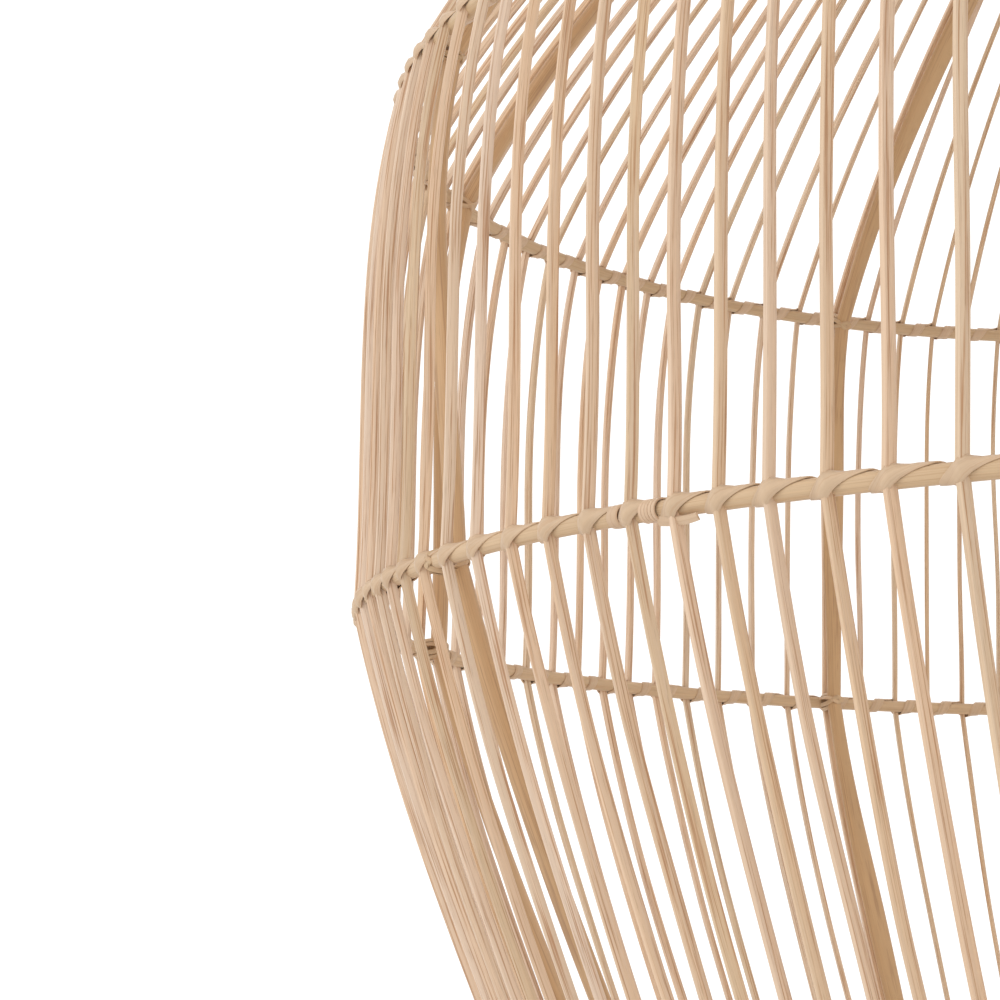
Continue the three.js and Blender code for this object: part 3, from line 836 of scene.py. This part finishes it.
def thread(pitch, depth, low, high, least=0.0):
    """A right-hand thread cut into whatever is outside a radius."""
    def ripple(r, z, turn):
        wave = 0.5 + 0.5 * np.cos(2 * np.pi * z / pitch - turn)
        return -depth * (1 - wave) * within(z, low, high) * (r > least)
    return ripple


def lobes(count, depth, low, high, least):
    """Flutes down the outside of a ring or grip."""
    def ripple(r, z, turn):
        wave = np.abs(np.cos(count * turn / 2)) ** 0.6
        return -depth * (1 - wave) * within(z, low, high, 1.0) * (r > least)
    return ripple


WIRE_SIDES = 14


def bent_wire(strands, path, radius, ends=1.0):
    """A round wire along a path. ends flattens it where it is welded down."""
    path = np.array(path, float) * MM
    ahead = unit(np.gradient(path, axis=0))
    side = unit(np.cross(ahead, UP + 1e-6))
    out = unit(np.cross(side, ahead))
    t = np.linspace(0, 1, len(path))
    squeeze = 1 - (1 - ends) * np.clip(1 - np.minimum(t, 1 - t) / 0.12, 0, 1)
    halves = np.stack([radius * MM / np.sqrt(squeeze), radius * MM * squeeze], -1)
    section = circle(WIRE_SIDES)[None] * halves[:, None]
    strands.sweep(rings_of(path, side, out, section), lengths(path), np.zeros(WIRE_SIDES), 0, 0)


def arc(centre_z, radius, start, end, steps):
    """(r, z) points round a circle on the axis, by angle from straight down."""
    angles = np.radians(np.linspace(start, end, steps))
    return [(max(0.0, radius * math.sin(a)), centre_z - radius * math.cos(a)) for a in angles]


# ---------------------------------------------------------------- the fitter

# From here down a bare length is in millimetres. RIM_WIRE is the rim wire's radius.
RIM_R, RIM_Z, RIM_WIRE = 59, -51, 1.75
RIM_STEPS = 120
HUB_R, HUB_Z = 30, -57.2
SPIDER_ARMS = 3
ARM_START = 27.8  # from the axis
RIM_BINDINGS_PER_RIB = 3


def make_spider():
    turns = np.arange(RIM_STEPS) * 2 * np.pi / RIM_STEPS
    ring = np.stack([RIM_R * np.cos(turns), RIM_R * np.sin(turns), np.full(RIM_STEPS, RIM_Z)], -1) * MM
    strands = Strands()
    side, _ = directions(turns)
    section = circle(16) * RIM_WIRE * MM
    strands.sweep(rings_of(ring, side, np.broadcast_to(UP, ring.shape), section[:, ::-1]),
                  turns, np.zeros(16), 0, 0, closed=True)
    strands.build("wire_rim", "shade", STEEL, "steel_wire", ["spider_rim"])

    under, over, groove = HUB_Z - 0.8, HUB_Z + 0.8, HUB_Z + 0.35
    turned("hub_plate", [(HUB_R, under), (HUB_R, over), (27.5, over), (26.8, groove), (23.4, groove),
                         (22.7, over), (20.3, over), (20.3, under)],
           "shade", STEEL, ["spider_hub"], 0.3)

    t = np.linspace(0, 1, 25)
    for arm in range(SPIDER_ARMS):
        angle = arm * 2 * math.pi / SPIDER_ARMS
        r = ARM_START + (RIM_R - 0.3 - ARM_START) * t
        z = HUB_Z + 1.2 + (RIM_Z - 1.2 - HUB_Z) * t**1.3 - 2.2 * np.sin(np.pi * t) * t
        strands = Strands()
        bent_wire(strands, np.stack([r * math.cos(angle), r * math.sin(angle), z], -1), 1.7, 0.62)
        for spot, low, high in ((HUB_R - 0.9, HUB_Z - 0.2, HUB_Z + 2.0),
                                (RIM_R - 1.0, RIM_Z - 1.6, RIM_Z + 1.0)):
            around = np.linspace(-2.6, 2.6, 9) / spot + angle
            heights = low + (high - low) * 0.5 + 0.25 * np.sin(np.arange(9) * 2.1)
            bead = np.stack([spot * np.cos(around), spot * np.sin(around), heights], -1)
            bent_wire(strands, bead, 1.0, 0.3)
        strands.build(f"wire_arm_{arm + 1}", "shade", STEEL, "steel_wire", [f"spider_arm_{arm + 1}"])


RIM_BINDING_TURNS = 4
RIM_BINDING_SPREAD = 14.4 * MM  # along the top hoop, from a binding's first turn to its last


def bind_rim():
    """Turns of cane strip round the fitter's rim and the cage's top hoop hold the two together."""
    strands = Strands()
    u = np.linspace(0, RIM_BINDING_TURNS, RIM_BINDING_TURNS * 36)
    pitch = 360 / len(RIBS) / (RIM_BINDINGS_PER_RIB + 0.5)
    for azimuths in RIBS:
        for spot in range(RIM_BINDINGS_PER_RIB):
            middle = math.radians(azimuths[0] + (spot + 0.75) * pitch)
            angles = middle + (u / RIM_BINDING_TURNS - 0.5) * RIM_BINDING_SPREAD / TOP.r
            hoop, _, _ = hoop_frames(TOP, angles)
            outward, _ = directions(angles)
            rim = outward * RIM_R * MM + UP * RIM_Z * MM
            away = unit(hoop - rim)
            up = unit(np.cross(away, np.cross(UP, outward)))
            cos, sin = np.cos(2 * np.pi * u)[:, None], np.sin(2 * np.pi * u)[:, None]
            share = 0.5 + 0.5 * np.tanh(3 * cos) / math.tanh(3)
            path = rim + (hoop - rim) * share + (away * cos + up * sin) * (ROD_R + STRIP_T * 0.6)
            sweep_strip(strands, path, away * cos + up * sin, 2.9 * MM)
    strands.build("rim_binding", "shade", TIE_CANE, "rattan")


# ---------------------------------------------------------------- the lampholder and its rings

BULB_THREAD = 3.6  # pitch of the bulb cap's thread and the shell that takes it


def make_holder():
    turned("grip_nut", [(4.8, -16), (4.8, -10), (7.5, -10), (7.5, -1), (6.5, 0), (4.4, 0), (3.5, -0.9),
                        (3.5, -16)],
           "lampholder", BLACK, ["cord_grip"],
           0.3, lobes(10, 0.7, -9.4, -0.9, 7), 0.8, 120)
    turned("holder_cap", [(20, -42), (20, -29), (19.2, -25.5), (16.4, -21), (12.4, -17), (8.5, -15),
                          (8.5, -10.4), (5.2, -10.4), (5.2, -17.4), (13.5, -22), (17.8, -29), (17.8, -42)],
           "lampholder", BLACK, ["lampholder_cap"],
           0.9, lobes(36, 0.35, -40.5, -29, 19), 0.9, 216)
    turned("holder_skirt", [(19.5, -84), (19.5, -45), (20, -45), (20, -42.4), (17.4, -42.4), (17.4, -34),
                            (14.8, -34), (14.8, -53), (16.5, -54.5), (16.5, -84)],
           "lampholder", BLACK, ["lampholder_body"],
           0.35, thread(2.5, 0.6, -83, -46.5, 19), 0.45)
    turned("holder_insulator", [(0, -52), (9, -52), (9.6, -51.2), (12.2, -51.2), (12.8, -52), (14.4, -52),
                                (14.4, -37), (11.6, -37), (11.2, -38.2), (4.4, -38.2), (4, -37), (0, -37)],
           "lampholder", CERAMIC, ["lampholder_core"], 0.5)

    def rolled_thread(r, z, turn):
        return 0.15 * np.cos(2 * np.pi * z / BULB_THREAD - turn) * within(z, -79, -56) - 0.15

    turned("threaded_shell", [(14.5, -80), (14.5, -52.4), (13.9, -52.4), (13.9, -80)],
           "lampholder", BRASS, ["lampholder_shell"], 0.15, rolled_thread, 0.45)

    tongue = Strands()
    x = np.linspace(-5, 5, 31)
    dip = -53.0 - 1.7 * np.exp(-(x / 2.2) ** 2)
    path = np.stack([x, 0 * x, dip], -1) * MM
    sweep_strip(tongue, path, np.broadcast_to(-UP, path.shape), 4 * MM)
    tongue.build("contact_tongue", "lampholder", BRASS, "brass", ["centre_contact"])

    for side, place in (("left", -8), ("right", 8)):
        head = [(0, -36.6), (2.6, -36.6), (2.6, -35), (2.0, -34), (0, -33.9)]
        screw = turned(f"slotted_screw_{side}", head, "lampholder", BRASS,
                       [f"terminal_screw_{side}"], 0.25, None, 0.2, 48)
        cut_slot(screw.data)
        screw.data.transform(Matrix.Translation((place * MM, 0, 0)))


def cut_slot(mesh):
    """Presses a driver slot into the top of a screw's head."""
    for vertex in mesh.vertices:
        if vertex.co.z > -35.2 * MM and abs(vertex.co.y) < 0.42 * MM:
            vertex.co.z = -35.3 * MM


def make_rings():
    grips = lobes(24, 0.9, -1e3, 1e3, 26)
    for name, low, high in (("upper", -56.0, -51.5), ("lower", -62.9, -58.4)):
        groove = (low + high) / 2 + 1.5
        turned(f"ring_nut_{name}", [(28, low), (28, high), (25.2, high), (24.6, groove), (22.2, groove),
                                    (21.6, high), (19.9, high), (19.9, low)],
               f"shade_ring_{name}", BLACK, [f"shade_ring_{name}"], 0.5, grips, 0.8, 192)


# ---------------------------------------------------------------- the bulb

GLOBE_R, GLOBE_Z = 47.5, -147.5
NECK_R, NECK_END = 11.8, -70
FILAMENTS = 4


def globe_outline(inset):
    """From the globe's lowest point up to the end of the neck, through a hollow curve under the cap."""
    globe = arc(GLOBE_Z, GLOBE_R - inset, 0, 148, 40)
    (r, z), end = globe[-1], NECK_R - inset
    curve = [(end + (r - end) * (1 - t) ** 2.2, z + (-92 - z) * t) for t in np.linspace(0, 1, 9)[1:]]
    return globe + curve + [(end, NECK_END)]


def make_bulb():
    turned("globe", globe_outline(0) + globe_outline(1)[::-1], "bulb", GLASS, ["bulb_glass"],
           0, segments=96)
    turned("screw_cap", [(13.1, -85), (13.1, -64.6), (9, -62.8), (3.2, -62.8), (3.2, -63.8), (8.6, -63.8),
                         (12.2, -65.4), (12.2, -85)],
           "bulb", CAP_METAL, ["bulb_cap"],
           0.4, thread(BULB_THREAD, 0.7, -82.5, -64.8, 10), 0.45)
    turned("cap_insulator", [(0, -62.0), (7.6, -62.0), (7.4, -61.2), (4.8, -59.9), (0, -59.8)],
           "bulb", BLACK, ["bulb_insulator"], 0.3)
    turned("tip_contact", [(0, -59.4), (4, -59.4), (4, -58.6), (2.8, -57.7), (0, -57.4)],
           "bulb", CAP_METAL, ["bulb_tip"], 0.5)
    turned("glass_stem", [(0, -112), (2.2, -111.6), (2.5, -108), (2.4, -98), (3.4, -92), (4.6, -86),
                          (8.6, -78), (9.5, -75), (9.5, -72), (8.6, -72), (0, -73.5)],
           "bulb", GLASS, ["bulb_stem"], 0.8)

    top, bottom, spread, joined = -113, -153, 9, -108
    sticks, leads = Strands(), Strands()
    for i in range(FILAMENTS):
        angle = (i + 0.5) * 2 * math.pi / FILAMENTS
        x, y = spread * math.cos(angle), spread * math.sin(angle)
        z = np.linspace(bottom + 0.4, top - 0.4, 24)
        bent_wire(sticks, np.stack([x + 0 * z, y + 0 * z, z], -1), 1.1, 0.8)
        t = np.linspace(0.1, 1.0, 12)
        for end in (top, bottom):
            bent_wire(leads, np.stack([x * t, y * t, end + 0.9 * np.sin(np.pi * t)], -1), 0.4)
    for x in (-1.2, 1.2):
        z = np.linspace(bottom, joined, 30) if x > 0 else np.linspace(top, joined, 12)
        bent_wire(leads, np.stack([x + 0 * z, 0 * z, z], -1), 0.4)
    sticks.build("glowing_sticks", "bulb", PHOSPHOR, "filament", ["bulb_filament"])
    leads.build("filament_leads", "bulb", CAP_METAL, "cap_metal")


make_splints()
make_hoops()
make_ribs()
make_lashings()
make_spider()
bind_rim()
make_holder()
make_rings()
make_bulb()
